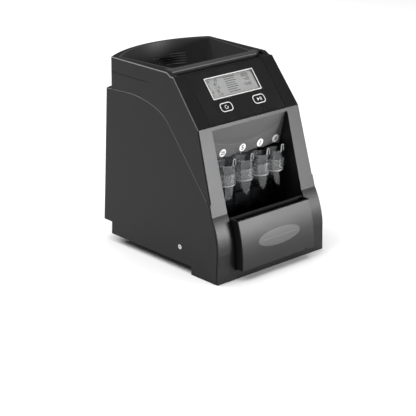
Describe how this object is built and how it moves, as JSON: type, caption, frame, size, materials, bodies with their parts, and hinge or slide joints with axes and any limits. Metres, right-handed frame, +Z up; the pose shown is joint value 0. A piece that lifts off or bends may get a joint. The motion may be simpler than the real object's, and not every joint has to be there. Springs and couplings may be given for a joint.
{
  "type": "coin sorting machine",
  "caption": "Desktop coin sorter: open hopper with feed disc above, sloping display panel with two keys, sliding drawer with clear coin tubes below.",
  "frame": {"origin": "centre of the overall box at floor level", "axes": "+X to the right seen from the front, +Y to the back, +Z up; the drawer faces -Y"},
  "size_m": [0.18, 0.2401, 0.24],
  "materials": {
    "housing": "fine satin charcoal",
    "hood": "satin mid grey",
    "hopper": "satin charcoal",
    "black": "matt black",
    "disc": "smooth grey",
    "brass": "turned",
    "steel": "bright",
    "gear": "acetal white",
    "zinc": "cast",
    "bracket": "zinc grey",
    "rail": "satin",
    "rubber": "matt",
    "board": "green solder mask",
    "chips": "moulded",
    "overlay": "smooth black",
    "window": "clear",
    "screen": "grey display",
    "button": "satin",
    "drawer": "satin charcoal",
    "badge": "satin",
    "clear": "clear polystyrene",
    "label": "printed paper"
  },
  "bodies": {
    "housing": {"rear_housing": "housing", "upper_housing": "housing", "front_hood": "hood", "recess_back": "black", "hopper_bowl": "hopper", "hopper_floor": "black", "shaft_bush": "brass", "motor_gearbox": "zinc", "motor_can": "steel", "motor_bracket": "bracket", "motor_screws": "steel", "sort_rail": "rail", "sensor_bar": "black", "transfer_plate": "rail", "coin_chutes": "rail", "rail_posts": "bracket", "base_plate": "black", "drawer_guides": "black", "rubber_feet": "rubber", "side_screws": "steel", "control_board": "board", "board_parts": "chips", "board_screws": "steel", "power_inlet": "chips", "power_switch": "black", "panel_overlay": "overlay", "screen_window": "window", "screen_module": "screen", "display_board": "board", "button_switches": "chips", "board_spacers": "steel", "coin_labels": "label"},
    "drawer": {"drawer_front": "drawer", "drawer_badge": "badge", "tube_tray": "black"},
    "left_button": {"button_left": "button"},
    "right_button": {"button_right": "button"},
    "rocker": {"power_rocker": "black"},
    "disc": {"feed_disc": "disc", "disc_shaft": "steel", "disc_gear": "gear"},
    "pinion": {"motor_pinion": "gear", "motor_shaft": "steel"},
    "quarter_tube": {"tube_quarter": "clear"},
    "nickel_tube": {"tube_nickel": "clear"},
    "penny_tube": {"tube_penny": "clear"},
    "dime_tube": {"tube_dime": "clear"}
  },
  "joints": [
    {"name": "drawer_slide", "type": "slide", "parent": "housing", "child": "drawer", "axis": [0, -1, 0], "range_m": [0, 0.06]},
    {"name": "left_button_press", "type": "slide", "parent": "housing", "child": "left_button", "axis": [0, 0.7711, -0.6367], "range_m": [0, 0.0005], "stiffness_N_per_m": 600, "springref_m": -0.0006},
    {"name": "right_button_press", "type": "slide", "parent": "housing", "child": "right_button", "axis": [0, 0.7711, -0.6367], "range_m": [0, 0.0005], "stiffness_N_per_m": 600, "springref_m": -0.0006},
    {"name": "rocker_turn", "type": "hinge", "parent": "housing", "child": "rocker", "pos_m": [0.04966, 0.11392, 0.046], "axis": [-0.9908, 0.1353, 0], "range_deg": [0, 16]},
    {"name": "disc_spin", "type": "hinge", "parent": "housing", "child": "disc", "pos_m": [0, 0.056, 0.184], "axis": [0, 0, 1], "continuous": true},
    {"name": "pinion_spin", "type": "hinge", "parent": "housing", "child": "pinion", "pos_m": [0, 0.024, 0.158], "axis": [0, 0, 1], "continuous": true},
    {"name": "quarter_tube_tilt", "type": "hinge", "parent": "drawer", "child": "quarter_tube", "pos_m": [-0.0375, -0.068, 0.0198], "axis": [1, 0, 0], "range_deg": [0, 7.5]},
    {"name": "nickel_tube_tilt", "type": "hinge", "parent": "drawer", "child": "nickel_tube", "pos_m": [-0.0065, -0.068, 0.0198], "axis": [1, 0, 0], "range_deg": [0, 7.5]},
    {"name": "penny_tube_tilt", "type": "hinge", "parent": "drawer", "child": "penny_tube", "pos_m": [0.022, -0.068, 0.0198], "axis": [1, 0, 0], "range_deg": [0, 7.5]},
    {"name": "dime_tube_tilt", "type": "hinge", "parent": "drawer", "child": "dime_tube", "pos_m": [0.0472, -0.068, 0.0198], "axis": [1, 0, 0], "range_deg": [0, 7.5]}
  ],
  "couplings": [
    {"joint": "pinion_spin", "follows": "disc_spin", "ratio": -3}
  ]
}
